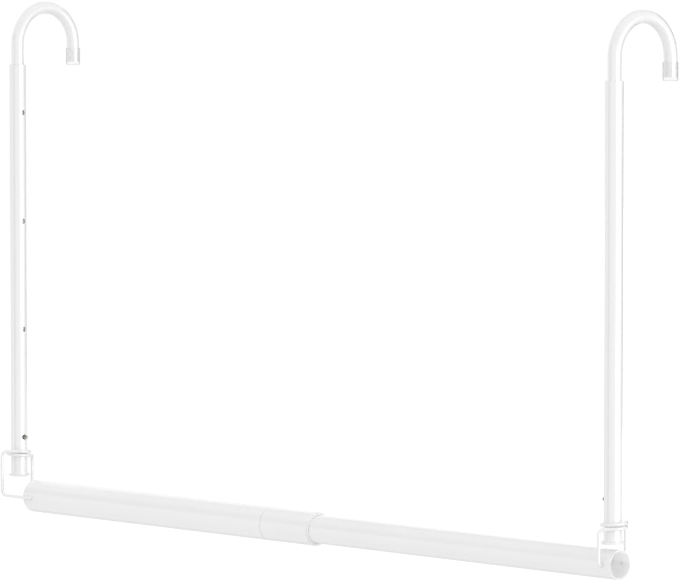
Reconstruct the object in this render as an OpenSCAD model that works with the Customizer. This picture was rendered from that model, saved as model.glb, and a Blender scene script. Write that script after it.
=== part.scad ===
// Hang-below closet rod: two telescoping J-hooks carry a telescoping rail on wire bails.
// Millimetres. +X along the rail, hook tips toward +Y, +Z up.
// Origin: on the rail axis, midway between the two uprights.

/* [Rail] */
// Distance between the two upright axes
span = 804; // [560:1:1000]
// Outside diameter of the large tube and of the sleeve
rail_od = 31.25; // [29.8:0.05:34]
// Outside diameter of the small tube
inner_rail_od = 26.4; // [22:0.05:26.5]
// Wall of the rail tubes
rail_wall = 0.9; // [0.6:0.05:1.1]
// Large tube, open end to seam
outer_tube_len = 341.3; // [300:0.1:360]
// Sleeve, seam to lip
sleeve_len = 62.2; // [45:0.1:80]
// Small tube inside the large one, mouth to hidden tail
tube_overlap = 108; // [60:1:200]
// Left upright axis to the open left end
left_end_inset = 23.7; // [14:0.1:25]
// Open right end beyond the right upright axis
right_end_past = 9; // [6:0.1:20]
// Height of the rolled edges at the seam and the mouth
bead_height = 0.15; // [0.1:0.05:0.6]

/* [Uprights] */
// Outside diameter of the drilled tube
upright_od = 16; // [14:0.1:19]
// Wall of the drilled tube
upright_wall = 1; // [0.6:0.05:1.2]
// Length of the drilled tube
upright_len = 401.2; // [380:0.2:450]
// Underside of the foot flange above the rail axis
foot_z = 17.8; // [17:0.1:22]
// Foot flange diameter
flange_od = 20.2; // [18:0.1:24]
// Foot flange thickness
flange_thick = 2.2; // [1.5:0.1:4]
// Number of height holes
hole_count = 4; // [2:1:4]
// Distance from hole to hole
hole_pitch = 106; // [80:1:106]
// Lowest hole above the rail axis
first_hole_z = 56.4; // [55:0.1:60]
// Height hole diameter
hole_d = 5; // [4.8:0.1:6]

/* [Hooks] */
// Outside diameter of the bent tube
hook_od = 12; // [10.8:0.1:12]
// Wall of the bent tube
hook_wall = 1; // [0.6:0.05:1]
// Hook width, shank axis to tip axis
hook_reach = 71; // [45:0.5:90]
// Shank above the mouth of the drilled tube before the bend starts
shank_rise = 19.8; // [12:0.1:60]
// Tip cap outside diameter
cap_od = 13.7; // [13.2:0.1:15]
// Tip cap length
cap_len = 16.4; // [12:0.1:24]
// Top edge of the tip cap below the start of the bend
cap_drop = 4.5; // [1:0.1:20]

/* [Bails] */
// Wire diameter
wire_d = 3.2; // [2.6:0.1:3.4]
// Radius of the eye to the middle of the wire
eye_r = 10.9; // [10.8:0.05:13]
// Rise of the eye in one turn
pass_pitch = 3.75; // [3.75:0.05:5]
// Middle of the left eye above the rail axis
left_eye_z = 40.4; // [30:0.1:42]
// Middle of the right eye above the rail axis
right_eye_z = 34.2; // [30:0.1:42]
// Distance between the two left legs
left_leg_gap = 38.4; // [38:0.1:44]
// Distance between the two right legs
right_leg_gap = 34; // [34:0.1:40]
// Left upright axis to the left pivot holes
left_arm = 36.5; // [34:0.1:40]

/* [Snap buttons] */
// Button diameter
button_d = 3.6; // [3:0.1:4.4]
// Button tip beyond the drilled tube
button_out = 4; // [2.5:0.1:4]

/* [Hidden] */
press_gap = 0.05;
glide_gap = 0.1;
pin_gap = 0.1;
tube_facets = 72;
small_facets = 36;
arc_step = 15;
past = 1;

left_x = -span / 2;
right_x = span / 2;

rail_r = rail_od / 2;
rail_bore_r = rail_r - rail_wall;
inner_rail_r = inner_rail_od / 2;
inner_bore_r = inner_rail_r - rail_wall;
rail_left = left_x + left_end_inset;
outer_tube_end = rail_left + outer_tube_len;
seam_width = 0.8;
sleeve_start = outer_tube_end + seam_width;
sleeve_end = sleeve_start + sleeve_len;
edge_chamfer = 0.45;
seam_bead_from = 1.6;
seam_bead_len = 2.6;
lip_len = 2.4;
lip_slope = 0.7;
nose_len = 2;
nose_wall = 0.65;
bush_bore_r = inner_rail_r + glide_gap;
inner_end = right_x + right_end_past;
tail_x = sleeve_end - tube_overlap;
inner_tube_len = inner_end - tail_x;
tail_len = 14;
pull_out = 6.5;
bush_start = tail_x + tail_len + pull_out;
bush_len = sleeve_end - bush_start;

upright_r = upright_od / 2;
upright_bore_r = upright_r - upright_wall;
upright_foot = foot_z + flange_thick;
mouth_z = upright_foot + upright_len;
plug_rise = 14;
plug_wall = 1.6;
plug_floor = 2;
top_bush_len = 16;
mouth_inset = 0.4;

hook_r = hook_od / 2;
hook_bore_r = hook_r - hook_wall;
hook_foot = 36;
bend_r = hook_reach / 2;
bend_z = mouth_z + shank_rise;
cap_top = bend_z - cap_drop;
cap_foot = cap_top - cap_len;
cap_floor = 3;
cap_round = 1;
tip_foot = cap_foot + cap_floor;
glide_len = 9;
glide_start = hook_foot + 1;

button_r = button_d / 2;
button_tip = upright_r + button_out;
button_hole_r = hole_d / 2 - glide_gap;
button_base_r = 3.2;
button_base_thick = 1;
button_seat = sqrt(pow(hook_bore_r, 2) - pow(button_base_r, 2)) - glide_gap;
button_back = button_seat - button_base_thick;
spring_thick = 0.5;
spring_width = 4.4;
spring_back = sqrt(pow(hook_bore_r, 2) - pow(spring_width / 2, 2)) - press_gap;
spring_foot = -6;
spring_pad = 5;
spring_fold_x = -0.4;
spring_fold_z = 27;
spring_fold_r = 1.4;

wire_r = wire_d / 2;
pin_step = 0.1;
wire_sides = 12;
rings_per_turn = 24;
rings_per_bend = 5;
pin_bend_r = 3;
lead_slope = 0.5;
pin_start = 0.2;
leg_bend_r = 5;
right_leg_bend_r = 4.5;
pin_hole_r = wire_r + pin_gap;
left_leg_x = -3.2;
right_leg_x = -0.7;
left_eye = [-0.9, 0.4];
right_eye = [0.4, 0.9];
left_pin_tip = 13.2;
right_pin_tip = 11.6;

painted = [0.93, 0.93, 0.93];
plastic = [0.87, 0.87, 0.87];
clear_vinyl = [0.94, 0.94, 0.94, 0.5];
bright = [0.72, 0.73, 0.75];
spring_steel = [0.45, 0.46, 0.5];

function unit(v) = v / norm(v);
function last(v) = v[len(v) - 1];

// Points of the arc of radius r that rounds the corner b of the line a, b, c.
function corner(a, b, c, r) =
    let (u = unit(a - b), v = unit(c - b), half = acos(u * v) / 2,
         o = b + unit(u + v) * r / sin(half),
         e = unit(b + u * r / tan(half) - o),
         q = b + v * r / tan(half) - o,
         w = unit(q - (q * e) * e), turn = 180 - 2 * half)
    [for (i = [0 : rings_per_bend])
        let (a = turn * i / rings_per_bend) o + r * (cos(a) * e + sin(a) * w)];

// Wire line of a bail about the upright axis: pivot end, front leg, eye, back leg, pivot end.
// rise is +1 when the front leg runs into the lower pass of the eye and -1 for the upper pass.
function bail_line(pivot_x, leg_x, leg_y, tip_y, eye, eye_z, rise, bend) =
    let (front = [leg_x, -leg_y] - eye, back = [leg_x, leg_y] - eye,
         from = atan2(front[1], front[0]) + acos(eye_r / norm(front)),
         to = 360 + atan2(back[1], back[0]) - acos(eye_r / norm(back)),
         steps = ceil(rings_per_turn * (to - from) / 360),
         eye_pts = [for (i = [0 : steps])
             let (a = from + (to - from) * i / steps)
             [eye[0] + eye_r * cos(a), eye[1] + eye_r * sin(a),
              eye_z + rise * pass_pitch * (a - (from + to) / 2) / 360]],
         slope = lead_slope * rise * pass_pitch / (2 * PI * eye_r),
         front_top = [leg_x, -leg_y, eye_pts[0][2] - slope * sqrt(pow(norm(front), 2) - eye_r * eye_r)],
         back_top = [leg_x, leg_y, last(eye_pts)[2] + slope * sqrt(pow(norm(back), 2) - eye_r * eye_r)],
         straight = pivot_x == leg_x,
         front_tip = [pivot_x, -tip_y, 0], front_pin = [pivot_x, -leg_y, 0],
         front_foot = [leg_x, -leg_y, 0],
         back_tip = [pivot_x, tip_y, 0], back_pin = [pivot_x, leg_y, 0],
         back_foot = [leg_x, leg_y, 0],
         front_low = straight ? corner(front_tip, front_pin, front_top, pin_bend_r)
             : concat(corner(front_tip, front_pin, front_foot, pin_bend_r),
                      corner(front_pin, front_foot, front_top, bend)),
         back_low = straight ? corner(back_top, back_pin, back_tip, pin_bend_r)
             : concat(corner(back_top, back_foot, back_pin, bend),
                      corner(back_foot, back_pin, back_tip, pin_bend_r)))
    concat([front_tip + [0, -past, 0]], front_low,
           corner(straight ? front_pin : front_foot, front_top, eye_pts[0], bend),
           eye_pts,
           corner(last(eye_pts), back_top, straight ? back_pin : back_foot, bend),
           back_low, [back_tip + [0, past, 0]]);

// Least clear distance between parts of the wire that are more than a third of a turn apart.
function self_gap(line) =
    min([for (i = [0 : len(line) - 1]) for (j = [i + 1 : 1 : len(line) - 1])
        if (j - i > rings_per_turn / 3) norm(line[i] - line[j])]) - wire_d;

left_line = bail_line(left_arm, left_leg_x, left_leg_gap / 2, left_pin_tip,
                      left_eye, left_eye_z, -1, leg_bend_r);
right_line = bail_line(right_leg_x, right_leg_x, right_leg_gap / 2, right_pin_tip,
                       right_eye, right_eye_z, 1, right_leg_bend_r);

module tube(len, outer, bore) difference() {
    cylinder(h = len, r = outer, $fn = tube_facets);
    translate([0, 0, -past]) cylinder(h = len + 2 * past, r = bore, $fn = tube_facets);
}

module along_x(x) translate([x, 0, 0]) rotate([0, 90, 0]) children();

module cross_hole(x, y) translate([x, y, 0]) rotate([90, 0, 0])
    cylinder(h = 2 * y, r = pin_hole_r, $fn = small_facets);

module side_hole(z, r, inward, reach) translate([0, 0, z]) rotate([0, 90 * inward, 0])
    cylinder(h = reach, r = r, $fn = small_facets);

// Round wire drawn along a line of points, its section carried along without twist.
// The two rings at either end are thinner, so that the round pins close over them.
module wire(line) {
    n = len(line);
    dirs = [for (i = [0 : n - 1]) unit(line[min(i + 1, n - 1)] - line[max(i - 1, 0)])];
    sides = [for (i = 0, u = [0, 0, 1]; i < n;
                  i = i + 1, u = i < n ? unit(u - (u * dirs[i]) * dirs[i]) : u) u];
    pts = [for (i = [0 : n - 1]) for (k = [0 : wire_sides - 1])
        let (a = 360 * k / wire_sides, r = i < 2 || i > n - 3 ? wire_r - pin_step : wire_r)
        line[i] + r * (cos(a) * sides[i] + sin(a) * cross(dirs[i], sides[i]))];
    skin = [for (i = [0 : n - 2]) for (k = [0 : wire_sides - 1])
        let (a = i * wire_sides + k, b = i * wire_sides + (k + 1) % wire_sides)
        each [[a, a + wire_sides, b + wire_sides], [a, b + wire_sides, b]]];
    ends = [[for (k = [0 : wire_sides - 1]) k],
            [for (k = [wire_sides - 1 : -1 : 0]) (n - 1) * wire_sides + k]];
    polyhedron(points = pts, faces = concat(skin, ends), convexity = 8);
}

module pin(x, leg_y, tip_y, side) translate([x, side * tip_y, 0]) rotate([-90 * side, 0, 0])
    cylinder(h = leg_y - pin_bend_r + pin_start - tip_y, r = wire_r, $fn = small_facets);

module bail(line, pivot_x, leg_y, tip_y) {
    wire(line);
    pin(pivot_x, leg_y, tip_y, -1);
    pin(pivot_x, leg_y, tip_y, 1);
}

module upright_shell(inward) difference() {
    translate([0, 0, upright_foot]) tube(upright_len, upright_r, upright_bore_r);
    for (i = [0 : hole_count - 1])
        side_hole(first_hole_z + i * hole_pitch, hole_d / 2, inward, upright_r + past);
}

module plug() difference() {
    union() {
        translate([0, 0, foot_z]) cylinder(h = flange_thick, r = flange_od / 2, $fn = tube_facets);
        translate([0, 0, foot_z])
            cylinder(h = flange_thick + plug_rise, r = upright_bore_r - press_gap, $fn = tube_facets);
    }
    translate([0, 0, foot_z + plug_floor])
        cylinder(h = upright_len, r = upright_bore_r - press_gap - plug_wall, $fn = tube_facets);
}

module mouth_ring() translate([0, 0, mouth_z - mouth_inset - top_bush_len])
    tube(top_bush_len, upright_bore_r - press_gap, hook_r + glide_gap);

module tail_ring() translate([0, 0, glide_start])
    tube(glide_len, upright_bore_r - glide_gap, hook_r + press_gap);

module bend(section_r) translate([0, bend_r, bend_z]) rotate([0, -90, 0]) rotate([0, 0, -90])
    rotate_extrude(angle = 180, $fn = tube_facets)
        translate([bend_r, 0]) circle(r = section_r, $fn = small_facets);

module hook_shell(inward) difference() {
    union() {
        translate([0, 0, hook_foot]) cylinder(h = bend_z - hook_foot, r = hook_r, $fn = tube_facets);
        bend(hook_r);
        translate([0, hook_reach, tip_foot]) cylinder(h = bend_z - tip_foot, r = hook_r, $fn = tube_facets);
    }
    union() {
        translate([0, 0, hook_foot - past])
            cylinder(h = bend_z - hook_foot + past, r = hook_bore_r, $fn = tube_facets);
        bend(hook_bore_r);
        translate([0, hook_reach, tip_foot - past])
            cylinder(h = bend_z - tip_foot + past, r = hook_bore_r, $fn = tube_facets);
    }
    side_hole(first_hole_z, button_hole_r, inward, hook_r + past);
}

module tip_cap() translate([0, hook_reach, cap_foot]) rotate_extrude($fn = tube_facets) {
    outer = cap_od / 2;
    polygon(concat(
        [[0, 0]],
        [for (a = [-90 : arc_step : 0])
            [outer - cap_round + cap_round * cos(a), cap_round + cap_round * sin(a)]],
        [[outer, cap_len - edge_chamfer], [outer - edge_chamfer, cap_len],
         [hook_r + press_gap, cap_len], [hook_r + press_gap, cap_floor - press_gap],
         [0, cap_floor - press_gap]]));
}

module button(inward) translate([0, 0, first_hole_z]) rotate([0, 90 * inward, 0])
    rotate_extrude($fn = small_facets)
        polygon(concat(
            [[0, button_back], [button_base_r, button_back], [button_base_r, button_seat],
             [button_r, button_seat]],
            [for (a = [0 : arc_step : 90]) [button_r * cos(a), button_tip - button_r + button_r * sin(a)]]));

module leaf_spring(inward) translate([0, spring_width / 2, first_hole_z]) rotate([90, 0, 0])
    linear_extrude(height = spring_width) {
        face = button_back;
        wall = -spring_back;
        fold = [spring_fold_x, spring_fold_z];
        outer = spring_fold_r + spring_thick;
        line = concat(
            [[face, spring_foot], [face, spring_pad]],
            [for (a = [0 : arc_step : 180]) fold + outer * [cos(a), sin(a)]],
            [[wall, spring_pad], [wall, spring_foot], [wall + spring_thick, spring_foot],
             [wall + spring_thick, spring_pad]],
            [for (a = [180 : -arc_step : 0]) fold + spring_fold_r * [cos(a), sin(a)]],
            [[face - spring_thick, spring_pad], [face - spring_thick, spring_foot]]);
        polygon([for (p = line) [inward * p[0], p[1]]]);
    }

module rod_outer_tube() color(painted) along_x(rail_left) difference() {
    rotate_extrude($fn = tube_facets) {
        rim = outer_tube_len - seam_bead_from;
        polygon([[rail_bore_r, 0], [rail_r - edge_chamfer, 0], [rail_r, edge_chamfer],
                 [rail_r, rim - seam_bead_len], [rail_r + bead_height, rim - seam_bead_len / 2],
                 [rail_r, rim], [rail_r, outer_tube_len - edge_chamfer],
                 [rail_r - edge_chamfer, outer_tube_len], [rail_bore_r, outer_tube_len]]);
    }
    rotate([0, -90, 0]) cross_hole(left_x + left_arm - rail_left, rail_r + past);
}

module rod_sleeve() color(painted) along_x(sleeve_start) rotate_extrude($fn = tube_facets)
    polygon([[rail_bore_r, 0], [rail_r - edge_chamfer, 0], [rail_r, edge_chamfer],
             [rail_r, seam_bead_from], [rail_r + bead_height, seam_bead_from + seam_bead_len / 2],
             [rail_r, seam_bead_from + seam_bead_len], [rail_r, sleeve_len - lip_len],
             [rail_r + bead_height, sleeve_len - lip_len + lip_slope],
             [rail_r + bead_height, sleeve_len - lip_slope],
             [rail_r - edge_chamfer, sleeve_len], [rail_bore_r, sleeve_len]]);

module rod_bush() color(plastic) along_x(bush_start) {
    rotate_extrude($fn = tube_facets)
        polygon([[bush_bore_r, 0], [rail_bore_r - press_gap, 0], [rail_bore_r - press_gap, bush_len],
                 [bush_bore_r + nose_wall, bush_len], [bush_bore_r + nose_wall, bush_len + nose_len],
                 [bush_bore_r, bush_len + nose_len]]);
}

module rod_inner_tube() color(painted) difference() {
    along_x(tail_x) tube(inner_tube_len, inner_rail_r, inner_bore_r);
    cross_hole(right_x + right_leg_x, inner_rail_r + past);
}

module rod_tail_bush() color(plastic) along_x(tail_x)
    tube(tail_len, rail_bore_r - glide_gap, inner_rail_r + press_gap);

module left_bail() color(painted) translate([left_x, 0, 0])
    bail(left_line, left_arm, left_leg_gap / 2, left_pin_tip);
module right_bail() color(painted) translate([right_x, 0, 0])
    bail(right_line, right_leg_x, right_leg_gap / 2, right_pin_tip);

module left_upright_tube() color(painted) translate([left_x, 0, 0]) upright_shell(1);
module right_upright_tube() color(painted) translate([right_x, 0, 0]) upright_shell(-1);
module left_flange_plug() color(plastic) translate([left_x, 0, 0]) plug();
module right_flange_plug() color(plastic) translate([right_x, 0, 0]) plug();
module left_top_bush() color(plastic) translate([left_x, 0, 0]) mouth_ring();
module right_top_bush() color(plastic) translate([right_x, 0, 0]) mouth_ring();

module left_hook_tube() color(painted) translate([left_x, 0, 0]) hook_shell(1);
module right_hook_tube() color(painted) translate([right_x, 0, 0]) hook_shell(-1);
module left_hook_cap() color(clear_vinyl) translate([left_x, 0, 0]) tip_cap();
module right_hook_cap() color(clear_vinyl) translate([right_x, 0, 0]) tip_cap();
module left_tube_glide() color(plastic) translate([left_x, 0, 0]) tail_ring();
module right_tube_glide() color(plastic) translate([right_x, 0, 0]) tail_ring();

module left_snap_button() color(bright) translate([left_x, 0, 0]) button(1);
module right_snap_button() color(bright) translate([right_x, 0, 0]) button(-1);
module left_button_spring() color(spring_steel) translate([left_x, 0, 0]) leaf_spring(1);
module right_button_spring() color(spring_steel) translate([right_x, 0, 0]) leaf_spring(-1);

echo(left_wire_gap = self_gap(left_line), right_wire_gap = self_gap(right_line));

rod_outer_tube();
rod_sleeve();
rod_bush();
rod_inner_tube();
rod_tail_bush();
left_bail();
left_upright_tube();
left_flange_plug();
left_top_bush();
left_hook_tube();
left_hook_cap();
left_tube_glide();
left_button_spring();
left_snap_button();
right_bail();
right_upright_tube();
right_flange_plug();
right_top_bush();
right_hook_tube();
right_hook_cap();
right_tube_glide();
right_button_spring();
right_snap_button();
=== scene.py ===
import bpy
import math
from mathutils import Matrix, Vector


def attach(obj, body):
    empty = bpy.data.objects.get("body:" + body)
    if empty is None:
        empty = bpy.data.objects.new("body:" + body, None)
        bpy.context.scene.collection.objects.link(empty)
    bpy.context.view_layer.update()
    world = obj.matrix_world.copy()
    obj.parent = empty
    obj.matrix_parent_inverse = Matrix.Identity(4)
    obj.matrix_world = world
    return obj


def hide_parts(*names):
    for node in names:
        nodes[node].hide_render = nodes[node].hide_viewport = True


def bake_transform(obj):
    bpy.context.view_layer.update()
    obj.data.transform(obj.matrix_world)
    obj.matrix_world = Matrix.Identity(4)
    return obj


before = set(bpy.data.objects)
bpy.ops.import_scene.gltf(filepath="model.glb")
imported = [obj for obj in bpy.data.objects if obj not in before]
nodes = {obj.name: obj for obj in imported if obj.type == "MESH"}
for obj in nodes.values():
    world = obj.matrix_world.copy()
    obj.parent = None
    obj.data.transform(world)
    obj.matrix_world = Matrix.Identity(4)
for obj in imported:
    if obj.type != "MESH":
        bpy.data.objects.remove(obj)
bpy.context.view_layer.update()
print("frame loaded with", len(nodes), "solids")


def linearColour(hexCode):
    channels = [int(hexCode[i:i + 2], 16) / 255 for i in (1, 3, 5)]
    return [c / 12.92 if c <= 0.04045 else ((c + 0.055) / 1.055) ** 2.4 for c in channels] + [1.0]


def placeObject(name, data):
    made = bpy.data.objects.new(name, data)
    bpy.context.scene.collection.objects.link(made)
    return made


def addNode(tree, kind, settings=None, values=None, links=None):
    made = tree.nodes.new(kind)
    for name, value in (settings or {}).items():
        setattr(made, name, value)
    for name, value in (values or {}).items():
        made.inputs[name].default_value = value
    for name, source in (links or {}).items():
        tree.links.new(source, made.inputs[name])
    return made


def startMaterial(name):
    material = bpy.data.materials.new(name)
    material.use_nodes = True
    material.node_tree.nodes.clear()
    return material, material.node_tree


noise = {"cloudDetail": 2.0, "grainDetail": 3.0, "grainRoughness": 0.55}
plainLook = {"metallic": 0.0, "ior": 1.5, "coat": 0.0, "coatRoughness": 0.1}


# Every finish is a surface with a broad tone change, a fine grain that bends the light, and its
# own range of roughness. What ends in Mm is in millimetres.
def finishedSurface(name, ownLook):
    look = {**plainLook, **ownLook}
    material, tree = startMaterial(name)
    place = addNode(tree, "ShaderNodeTexCoord").outputs["Object"]
    broad = addNode(tree, "ShaderNodeTexNoise",
                    values={"Scale": 1000 / look["cloudMm"], "Detail": noise["cloudDetail"]},
                    links={"Vector": place}).outputs["Fac"]
    tone = addNode(tree, "ShaderNodeMix", {"data_type": "RGBA"},
                   {6: linearColour(look["colour"]), 7: linearColour(look["shade"])},
                   {0: broad}).outputs[2]
    grain = addNode(tree, "ShaderNodeTexNoise",
                    values={"Scale": 1000 / look["grainMm"], "Detail": noise["grainDetail"],
                            "Roughness": noise["grainRoughness"]},
                    links={"Vector": place}).outputs["Fac"]
    roughness = addNode(tree, "ShaderNodeMapRange",
                        values={"To Min": look["roughness"][0], "To Max": look["roughness"][1]},
                        links={"Value": broad}).outputs[0]
    relief = addNode(tree, "ShaderNodeBump",
                     values={"Strength": look["relief"], "Distance": look["reliefMm"] / 1000},
                     links={"Height": grain}).outputs[0]
    surface = addNode(tree, "ShaderNodeBsdfPrincipled",
                      values={"Metallic": look["metallic"], "IOR": look["ior"],
                              "Coat Weight": look["coat"], "Coat Roughness": look["coatRoughness"],
                              "Coat IOR": look["ior"]},
                      links={"Base Color": tone, "Roughness": roughness, "Normal": relief})
    # A look with an opacity turns more solid and grey towards its outline, as painted shade.
    if "opacity" in look:
        slant = addNode(tree, "ShaderNodeLayerWeight",
                        values={"Blend": look["slantBlend"]}).outputs["Facing"]
        body = addNode(tree, "ShaderNodeMapRange",
                       values={"From Min": look["clearTo"], "To Min": look["opacity"][0],
                               "To Max": look["opacity"][1]}, links={"Value": slant})
        tree.links.new(body.outputs[0], surface.inputs["Alpha"])
    addNode(tree, "ShaderNodeOutputMaterial", links={"Surface": surface.outputs[0]})
    return material


# Polyester powder coat on steel tube, sprayed and baked: smooth satin white, with the faint
# ripple of orange peel every 1 to 2 mm.
powderLook = {"colour": "#F6F6F6", "shade": "#F2F2F2", "cloudMm": 60, "grainMm": 1.6,
              "relief": 0.16, "reliefMm": 0.05, "roughness": (0.28, 0.36), "ior": 1.6,
              "coat": 1.0, "coatRoughness": 0.12}
powderCoat = finishedSurface("whitePowderCoat", powderLook)
# Inside the tubes: bare galvanised strip, a pale dull metal that throws light from wall to wall.
galvanisedBore = finishedSurface("galvanisedBore", {
    "colour": "#FFFFFF", "shade": "#FAFAFA", "cloudMm": 9, "grainMm": 1.5,
    "relief": 0.1, "reliefMm": 0.03, "roughness": (0.92, 1.0), "metallic": 1.0})
# The same coat on drawn wire, a little glossier and with a finer ripple.
wireCoat = finishedSurface("whitePowderCoatWire",
                           {**powderLook, "grainMm": 1.2, "roughness": (0.24, 0.3)})
# Injection-moulded polypropylene: even, slightly waxy white.
mouldedPlastic = finishedSurface("mouldedPolypropylene", {
    "colour": "#F8F8F8", "shade": "#F3F3F3", "cloudMm": 25, "grainMm": 0.7,
    "relief": 0.1, "reliefMm": 0.03, "roughness": (0.38, 0.46), "ior": 1.49})
# Clear dipped vinyl on the hook tips: soft PVC with a slow ripple, and the tube's end shows
# through it. Seen square on it is clear, and towards its outline it turns grey: painted shade
# in place of the dark edge that a clear cap gets from what it bends and reflects. The inside
# clings to the tube and hardly shows.
vinylLook = {"colour": "#969696", "shade": "#8C8C8C", "cloudMm": 14, "grainMm": 2.5,
             "relief": 0.08, "reliefMm": 0.04, "roughness": (0.06, 0.1), "ior": 1.53,
             "opacity": (0.04, 0.7), "clearTo": 0.4, "slantBlend": 0.5}
clearVinyl = finishedSurface("clearDippedVinyl", vinylLook)
vinylInside = finishedSurface("clearDippedVinylInside", {**vinylLook, "opacity": (0.0, 0.02)})
# Polished nickel plate on the snap buttons: warm grey, and the round end holds a sharp light.
nickelPlate = finishedSurface("nickelPlate", {
    "colour": "#A8A6A1", "shade": "#9B9994", "cloudMm": 4, "grainMm": 0.5,
    "relief": 0.06, "reliefMm": 0.02, "roughness": (0.14, 0.2), "metallic": 1.0})
# Tempered spring strip: darker, rolled metal.
springStrip = finishedSurface("springSteelStrip", {
    "colour": "#8D8F93", "shade": "#7C7E83", "cloudMm": 6, "grainMm": 0.4,
    "relief": 0.15, "reliefMm": 0.02, "roughness": (0.3, 0.4), "metallic": 1.0})
print("finishes made")


def finishedPiece(name, mesh, part):
    piece = placeObject(name, mesh)
    mesh.materials.clear()
    mesh.materials.append(part["finish"])
    if "bends" in part:
        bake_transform(piece)
    else:
        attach(piece, part["body"])
    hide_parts(part["node"])
    return piece


def plainMesh(source):
    depsgraph = bpy.context.evaluated_depsgraph_get()
    mesh = bpy.data.meshes.new_from_object(source.evaluated_get(depsgraph))
    bpy.data.objects.remove(source)
    return mesh


def startTree(name, inputs, output):
    tree = bpy.data.node_groups.new(name, "GeometryNodeTree")
    for socket, kind in inputs.items():
        tree.interface.new_socket(socket, in_out="INPUT", socket_type="NodeSocket" + kind)
    tree.interface.new_socket(output, in_out="OUTPUT", socket_type="NodeSocketGeometry")
    return tree, addNode(tree, "NodeGroupInput").outputs


def endTree(tree, shape, finish, output):
    whole = addNode(tree, "GeometryNodeRealizeInstances", links={"Geometry": shape}).outputs[0]
    coated = addNode(tree, "GeometryNodeSetMaterial",
                     links={"Geometry": whole, "Material": finish}).outputs[0]
    addNode(tree, "NodeGroupOutput", links={output: coated})
    return tree


# Geometry Nodes that welds a solid's loose triangles and rounds its shading, but keeps the edges
# that are sharper than a set angle.
def turnedSurfaceTree():
    tree, given = startTree("turnedSurface", {
        "Solid": "Geometry", "Weld Distance": "Float", "Edge Angle": "Float",
        "Finish": "Material"}, "Solid")
    welded = addNode(tree, "GeometryNodeMergeByDistance",
                     links={"Geometry": given["Solid"],
                            "Distance": given["Weld Distance"]}).outputs[0]
    angle = addNode(tree, "GeometryNodeInputMeshEdgeAngle").outputs["Unsigned Angle"]
    soft = addNode(tree, "FunctionNodeCompare", {"data_type": "FLOAT", "operation": "LESS_THAN"},
                   links={0: angle, 1: given["Edge Angle"]}).outputs[0]
    rounded = addNode(tree, "GeometryNodeSetShadeSmooth", {"domain": "FACE"},
                      {"Shade Smooth": True}, {"Geometry": welded}).outputs[0]
    edged = addNode(tree, "GeometryNodeSetShadeSmooth", {"domain": "EDGE"},
                    links={"Geometry": rounded, "Shade Smooth": soft}).outputs[0]
    return endTree(tree, edged, given["Finish"], "Solid")


# Geometry Nodes that draws a round wire along a line.
def drawnWireTree():
    tree, given = startTree("drawnWire", {
        "Line": "Geometry", "Wire Radius": "Float", "Sides": "Int", "Step": "Float",
        "Finish": "Material"}, "Wire")
    line = addNode(tree, "GeometryNodeMeshToCurve", links={"Mesh": given["Line"]}).outputs[0]
    even = addNode(tree, "GeometryNodeResampleCurve", {"mode": "LENGTH"},
                   links={"Curve": line, "Length": given["Step"]}).outputs[0]
    section = addNode(tree, "GeometryNodeCurvePrimitiveCircle", {"mode": "RADIUS"},
                      links={"Resolution": given["Sides"],
                             "Radius": given["Wire Radius"]}).outputs[0]
    drawn = addNode(tree, "GeometryNodeCurveToMesh", values={"Fill Caps": True},
                    links={"Curve": even, "Profile Curve": section}).outputs[0]
    rounded = addNode(tree, "GeometryNodeSetShadeSmooth", {"domain": "FACE"},
                      {"Shade Smooth": True}, {"Geometry": drawn}).outputs[0]
    return endTree(tree, rounded, given["Finish"], "Wire")


def runTree(source, tree, values):
    modifier = source.modifiers.new(tree.name, "NODES")
    modifier.node_group = tree
    for socket in tree.interface.items_tree:
        if socket.in_out == "INPUT" and socket.name in values:
            modifier[socket.identifier] = values[socket.name]
    return plainMesh(source)


turnedSurface = turnedSurfaceTree()
drawnWire = drawnWireTree()

# Angles are in degrees. A face faces a way if more than facing of its unit normal points there,
# and it lies on a round wall if its corners are within wallMm of one radius.
turned = {"weldMm": 0.002, "edgeAngle": 28, "rimAngle": 50, "rimSteps": 2, "wallMm": 0.03,
          "facing": 0.5}


# The step from a tube's axis, which runs along X or stands at a place (x, y), out to a point.
def outFromAxis(point, axis):
    if axis == "X":
        return Vector((0, point.y, point.z))
    return Vector((point.x - axis[0], point.y - axis[1], 0))


# The solids' long triangles tilt the shading beside a hole, so plain tube walls get the normals
# of a true cylinder.
def roundWalls(mesh, axis):
    normals = [n.vector.copy() for n in mesh.corner_normals]
    outs = [outFromAxis(v.co, axis) for v in mesh.vertices]
    middle = (min(out.length for out in outs) + max(out.length for out in outs)) / 2
    for face in mesh.polygons:
        radii = [outs[i].length for i in face.vertices]
        along = abs(face.normal.x if axis == "X" else face.normal.z)
        if along < turned["facing"] and max(radii) - min(radii) < turned["wallMm"] / 1000:
            for corner in face.loop_indices:
                out = outs[mesh.loops[corner].vertex_index].normalized()
                normals[corner] = out if radii[0] > middle else -out
    mesh.normals_split_custom_set(normals)


# The faces of a bore, and of the floor of a blind one, get a finish of their own.
def finishBore(mesh, axis, material, floorRadius=0):
    mesh.materials.append(material)
    for face in mesh.polygons:
        out = outFromAxis(face.center, axis)
        facesIn = face.normal.dot(out.normalized()) < -turned["facing"]
        if facesIn or (out.length < floorRadius and face.normal.z > turned["facing"]):
            face.material_index = 1


def breakRims(mesh, rimMm):
    source = placeObject("source", mesh)
    rim = source.modifiers.new("rim", "BEVEL")
    rim.width, rim.segments = rimMm / 1000, turned["rimSteps"]
    rim.limit_method, rim.angle_limit = "ANGLE", math.radians(turned["rimAngle"])
    rim.harden_normals = True
    return plainMesh(source)


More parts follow.
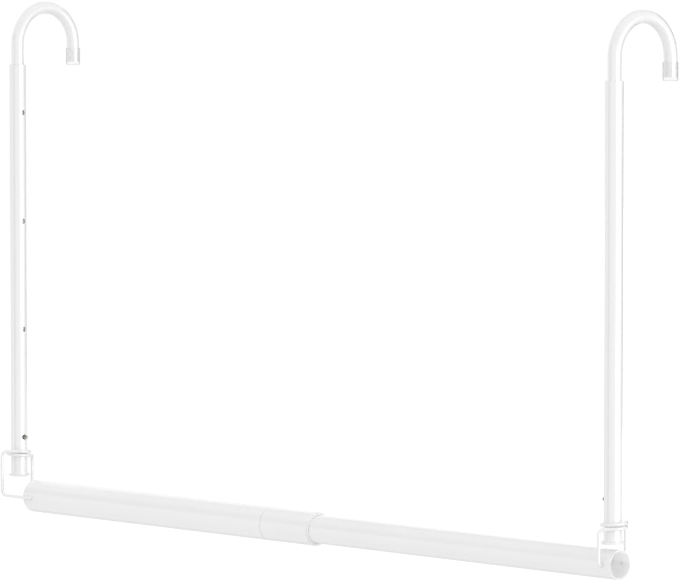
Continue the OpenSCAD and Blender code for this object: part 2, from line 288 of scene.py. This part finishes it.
# A copy of one solid, welded and shaded round, with its rims broken by a small radius where the
# part gives one. Drilled tubes keep sharp rims, because a bevel would run out along the thin
# triangles beside a hole.
def turnedPiece(name, part):
    source = placeObject("source", nodes[part["node"]].data.copy())
    mesh = runTree(source, turnedSurface, {"Weld Distance": turned["weldMm"] / 1000,
                                           "Edge Angle": math.radians(turned["edgeAngle"]),
                                           "Finish": part["finish"]})
    if "rimMm" in part:
        mesh = breakRims(mesh, part["rimMm"])
    finishedPiece(name, mesh, part)
    if "axis" in part:
        roundWalls(mesh, part["axis"])
        finishBore(mesh, part["axis"], part.get("inside", galvanisedBore),
                   part.get("floorRadius", 0))


railParts = {
    "largeTube": {"node": "rod_outer_tube", "axis": "X", "body": "rod_outer",
                  "finish": powderCoat, "slot": "white_powder_coat"},
    "sleeve": {"node": "rod_sleeve", "axis": "X", "body": "rod_outer",
               "finish": powderCoat, "slot": "white_powder_coat", "rimMm": 0.15},
    "sleeveLiner": {"node": "rod_bush", "body": "rod_outer",
                    "finish": mouldedPlastic, "slot": "white_moulded_plastic", "rimMm": 0.1},
    "smallTube": {"node": "rod_inner_tube", "axis": "X", "body": "rod_inner",
                  "finish": powderCoat, "slot": "white_powder_coat"},
    "tailRing": {"node": "rod_tail_bush", "body": "rod_inner",
                 "finish": mouldedPlastic, "slot": "white_moulded_plastic", "rimMm": 0.1},
}
for name, part in railParts.items():
    turnedPiece(name, part)
print("rail tubes finished")

# In metres. A point on the far leg of a leaf spring, by the hook, and one on the near leg, by
# the button, both given as steps inward from the upright's axis. Nothing here bends the spring.
sideAxes = {"left": -0.402, "right": 0.402}
leafBend = {"farLeg": -0.0021, "farZ": 0.0614, "nearLeg": 0.0021, "nearZ": 0.0607}
# Each of these is made once for the left and once for the right.
sideParts = {
    "UprightTube": {"node": "upright_tube", "axisY": 0, "body": "upright",
                    "finish": powderCoat, "slot": "white_powder_coat"},
    "FootPlug": {"node": "flange_plug", "body": "upright",
                 "finish": mouldedPlastic, "slot": "white_moulded_plastic", "rimMm": 0.2},
    "MouthRing": {"node": "top_bush", "body": "upright",
                  "finish": mouldedPlastic, "slot": "white_moulded_plastic", "rimMm": 0.1},
    "Hook": {"node": "hook_tube", "body": "hook",
             "finish": powderCoat, "slot": "white_powder_coat"},
    "TipCap": {"node": "hook_cap", "axisY": 0.071, "body": "hook",
               "finish": clearVinyl, "slot": "soft_tip_cap", "rimMm": 0.25,
               "inside": vinylInside, "floorRadius": 0.0062},
    "GlideRing": {"node": "tube_glide", "body": "hook",
                  "finish": mouldedPlastic, "slot": "white_moulded_plastic", "rimMm": 0.1},
    "LeafSpring": {"node": "button_spring", "body": "hook",
                   "finish": springStrip, "slot": "spring_steel"},
    "SnapButton": {"node": "snap_button", "body": "button",
                   "finish": nickelPlate, "slot": "snap_button_steel"},
}
for side, x in sideAxes.items():
    inward = -math.copysign(1, x)
    for name, part in sideParts.items():
        placed = {**part, "node": side + "_" + part["node"], "body": side + "_" + part["body"]}
        if "axisY" in part:
            placed["axis"] = (x, part["axisY"])
        if name == "LeafSpring":
            placed["bends"] = (side + "_hook", side + "_button",
                               (x + inward * leafBend["farLeg"], 0, leafBend["farZ"]),
                               (x + inward * leafBend["nearLeg"], 0, leafBend["nearZ"]))
        turnedPiece(side + name, placed)
print("uprights, hooks and buttons finished")

# In millimetres, from the axis of the upright that the bail holds. eye is the middle of the
# eye, a little off that axis. rise is 1 where the front leg runs into the lower pass of the eye,
# and -1 where it runs into the upper one.
bails = {
    "left": {"axisX": -402, "pivotX": 36.5, "legX": -3.2, "legY": 19.2, "tipY": 13.2,
             "eye": (-0.9, 0.4), "eyeZ": 40.4, "rise": -1, "bend": 5},
    "right": {"axisX": 402, "pivotX": -0.7, "legX": -0.7, "legY": 17, "tipY": 11.6,
              "eye": (0.4, 0.9), "eyeZ": 34.2, "rise": 1, "bend": 4.5},
}
# The straights beside the eye climb at leadSlope times the slope of the eye.
wire = {"radiusMm": 1.6, "endRoundMm": 0.5, "eyeRadius": 10.9, "passPitch": 3.75, "pinBend": 3,
        "leadSlope": 0.5, "sides": 20, "stepMm": 0.7, "bendSteps": 12, "turnSteps": 60}


def roundedCorner(before, corner, after, radius):
    back, ahead = (before - corner).normalized(), (after - corner).normalized()
    half = back.angle(ahead) / 2
    middle = corner + (back + ahead).normalized() * radius / math.sin(half)
    start = (corner + back * radius / math.tan(half) - middle).normalized()
    end = corner + ahead * radius / math.tan(half) - middle
    across = (end - start * end.dot(start)).normalized()
    turn = math.pi - 2 * half
    steps = wire["bendSteps"]
    return [middle + radius * (start * math.cos(turn * i / steps)
                               + across * math.sin(turn * i / steps))
            for i in range(steps + 1)]


# The wire's line: pivot end, front leg, eye, back leg, pivot end, as in the solid it stands for.
def bailLine(bail):
    radius, eye = wire["eyeRadius"], Vector(bail["eye"])
    front = Vector((bail["legX"], -bail["legY"])) - eye
    back = Vector((bail["legX"], bail["legY"])) - eye
    start = math.atan2(front.y, front.x) + math.acos(radius / front.length)
    end = 2 * math.pi + math.atan2(back.y, back.x) - math.acos(radius / back.length)
    climb = bail["rise"] * wire["passPitch"] / (2 * math.pi)
    steps = round(wire["turnSteps"] * (end - start) / (2 * math.pi))
    angles = [start + (end - start) * i / steps for i in range(steps + 1)]
    ring = [Vector((eye.x + radius * math.cos(a), eye.y + radius * math.sin(a),
                    bail["eyeZ"] + climb * (a - (start + end) / 2))) for a in angles]
    straight = bail["pivotX"] == bail["legX"]
    legs = []
    for sign, near, reach in ((-1, ring[0], front.length), (1, ring[-1], back.length)):
        y = sign * bail["legY"]
        tip = Vector((bail["pivotX"], sign * bail["tipY"], 0))
        pin, foot = Vector((bail["pivotX"], y, 0)), Vector((bail["legX"], y, 0))
        drop = wire["leadSlope"] * climb / radius * math.sqrt(reach ** 2 - radius ** 2)
        top = Vector((bail["legX"], y, near.z + sign * drop))
        leg = [tip] + roundedCorner(tip, pin, top if straight else foot, wire["pinBend"])
        if not straight:
            leg += roundedCorner(pin, foot, top, bail["bend"])
        leg += roundedCorner(pin if straight else foot, top, near, bail["bend"])
        legs.append(leg)
    points = legs[0] + ring + legs[1][::-1]
    return [Vector(((p.x + bail["axisX"]) / 1000, p.y / 1000, p.z / 1000)) for p in points]


for side, bail in bails.items():
    points = bailLine(bail)
    mesh = bpy.data.meshes.new("line")
    mesh.from_pydata(points, [(i, i + 1) for i in range(len(points) - 1)], [])
    drawn = runTree(placeObject("source", mesh), drawnWire,
                    {"Wire Radius": wire["radiusMm"] / 1000, "Sides": wire["sides"],
                     "Step": wire["stepMm"] / 1000, "Finish": wireCoat})
    finishedPiece(side + "Bail", breakRims(drawn, wire["endRoundMm"]),
                  {"node": side + "_bail", "body": side + "_bail", "finish": wireCoat,
                   "slot": "white_powder_coat"})
print("bails drawn")

# Azimuths are in degrees from -Y towards +X, as seen from above, and lengths are in metres. A
# lamp with diffuse False lights nothing and shows in reflections alone.
studio = {
    "floorZ": -1.1, "floorHalf": 20, "floorColour": "#E1E1E1", "floorGlow": 0.3,
    "worldLight": 1.03, "worldSeen": 1.0, "lampAim": (0, 0, 0.2),
    "lamps": [
        {"name": "keyPanel", "azimuth": 105, "distance": 3.2, "z": 0.5, "size": (2.8, 2.0),
         "power": 8, "diffuse": True},
        {"name": "shinePanel", "azimuth": 101, "distance": 3.2, "z": 0.0, "size": (2.9, 1.7),
         "power": 52, "diffuse": False},
    ],
    "cards": [
        {"name": "edgeCard", "azimuth": -15, "distance": 2.6, "z": 0.3, "size": (1.15, 3.0),
         "colour": "#000000"},
        {"name": "rimCard", "azimuth": 181, "distance": 2.6, "z": 0.3, "size": (2.2, 3.0),
         "colour": "#585858"},
        {"name": "backCard", "azimuth": -83, "distance": 2.6, "z": 0.0, "size": (2.6, 1.6),
         "colour": "#EEEEEE"},
        {"name": "bandCard", "azimuth": -54, "distance": 3.0, "z": 1.35, "size": (2.0, 1.4),
         "colour": "#B8B8B8"},
    ],
    "ceiling": {"half": 3.0, "z": 2.2, "colour": "#DADADA"},
    "lowCard": {"x": (-3.0, 0.6), "near": (0.15, -0.5), "far": (0.9, 0.03), "colour": "#E8E8E8"},
}
square = ((-1, -1), (1, -1), (1, 1), (-1, 1))
white = (1, 1, 1, 1)


def aroundObject(spot):
    turn = math.radians(spot["azimuth"])
    return Vector((math.sin(turn) * spot["distance"], -math.cos(turn) * spot["distance"],
                   spot["z"]))


# True for the rays that see a surface itself, straight or in a reflection, and not its light.
def seenDirectly(tree):
    path = addNode(tree, "ShaderNodeLightPath").outputs
    either = addNode(tree, "ShaderNodeMath", {"operation": "MAXIMUM"},
                     links={0: path["Is Camera Ray"], 1: path["Is Glossy Ray"]}).outputs[0]
    return addNode(tree, "ShaderNodeMath", {"operation": "MAXIMUM"},
                   links={0: either, 1: path["Is Transmission Ray"]}).outputs[0]


def flatSheet(name, corners, material):
    mesh = bpy.data.meshes.new(name)
    mesh.from_pydata(corners, [], [(0, 1, 2, 3)])
    mesh.materials.append(material)
    return placeObject(name, mesh)


world = bpy.data.worlds.new("studioSurround")
world.use_nodes = True
tree = world.node_tree
tree.nodes.clear()
direct = seenDirectly(tree)
lit, shown = [addNode(tree, "ShaderNodeBackground", values={"Color": white, "Strength": strength})
              for strength in (studio["worldLight"], studio["worldSeen"])]
both = addNode(tree, "ShaderNodeMixShader",
               links={0: direct, 1: lit.outputs[0], 2: shown.outputs[0]})
addNode(tree, "ShaderNodeOutputWorld", links={"Surface": both.outputs[0]})
bpy.context.scene.world = world

floorPaper, tree = startMaterial("floorPaper")
direct = seenDirectly(tree)
paper = addNode(tree, "ShaderNodeBsdfDiffuse",
                values={"Color": linearColour(studio["floorColour"])})
glow = addNode(tree, "ShaderNodeEmission", values={"Color": white, "Strength": studio["floorGlow"]})
bright = addNode(tree, "ShaderNodeAddShader", links={0: paper.outputs[0], 1: glow.outputs[0]})
both = addNode(tree, "ShaderNodeMixShader",
               links={0: direct, 1: paper.outputs[0], 2: bright.outputs[0]})
addNode(tree, "ShaderNodeOutputMaterial", links={"Surface": both.outputs[0]})
floor = flatSheet("floor", [(x * studio["floorHalf"], y * studio["floorHalf"], studio["floorZ"])
                            for x, y in square], floorPaper)

for lamp in studio["lamps"]:
    data = bpy.data.lights.new(lamp["name"], "AREA")
    data.shape, data.energy = "RECTANGLE", lamp["power"]
    data.size, data.size_y = lamp["size"]
    panel = placeObject(lamp["name"], data)
    panel.location = aroundObject(lamp)
    aim = Vector(studio["lampAim"]) - panel.location
    panel.rotation_euler = aim.to_track_quat("-Z", "Y").to_euler()
    panel.visible_diffuse = lamp["diffuse"]


# Cards that only reflections see give white tubes their grey edges, as in a photographer's
# studio.
def addCard(name, corners, colour):
    felt, tree = startMaterial(name)
    dull = addNode(tree, "ShaderNodeBsdfDiffuse", values={"Color": linearColour(colour)})
    addNode(tree, "ShaderNodeOutputMaterial", links={"Surface": dull.outputs[0]})
    flag = flatSheet(name, corners, felt)
    flag.visible_camera = flag.visible_diffuse = False
    flag.visible_shadow = flag.visible_transmission = False


for card in studio["cards"]:
    w, h = card["size"][0] / 2, card["size"][1] / 2
    middle = aroundObject(card)
    sideways = Vector((middle.y, -middle.x, 0)).normalized()
    addCard(card["name"], [middle + sideways * x * w + Vector((0, 0, y * h))
                           for x, y in square], card["colour"])
above, low = studio["ceiling"], studio["lowCard"]
addCard("ceilingCard", [(x * above["half"], y * above["half"], above["z"]) for x, y in square],
        above["colour"])
addCard("lowCard", [(low["x"][0], *low["near"]), (low["x"][1], *low["near"]),
                    (low["x"][1], *low["far"]), (low["x"][0], *low["far"])], low["colour"])

# The camera that was fitted to the photograph, with a long lens.
view = {"azimuth": 46.594, "elevation": 3.832, "distance": 4.8281,
        "target": (0.05547, 0, 0.22232), "lens": 279.3, "sensor": 36}
across, up = math.radians(view["azimuth"]), math.radians(view["elevation"])
back = Vector((math.sin(across) * math.cos(up), -math.cos(across) * math.cos(up), math.sin(up)))
camera = placeObject("camera", bpy.data.cameras.new("camera"))
camera.data.lens, camera.data.sensor_width = view["lens"], view["sensor"]
camera.location = Vector(view["target"]) + back * view["distance"]
camera.rotation_euler = back.to_track_quat("Z", "Y").to_euler()
bpy.context.scene.camera = camera
bpy.context.scene.view_settings.view_transform = "Standard"

# White tubes throw light from wall to wall many times, and fewer bounces leave their bores too
# dark.
bounces = {"each": 12, "total": 24}
cycles = bpy.context.scene.cycles
cycles.diffuse_bounces = cycles.glossy_bounces = bounces["each"]
cycles.max_bounces = bounces["total"]
print("floor, light and camera set")
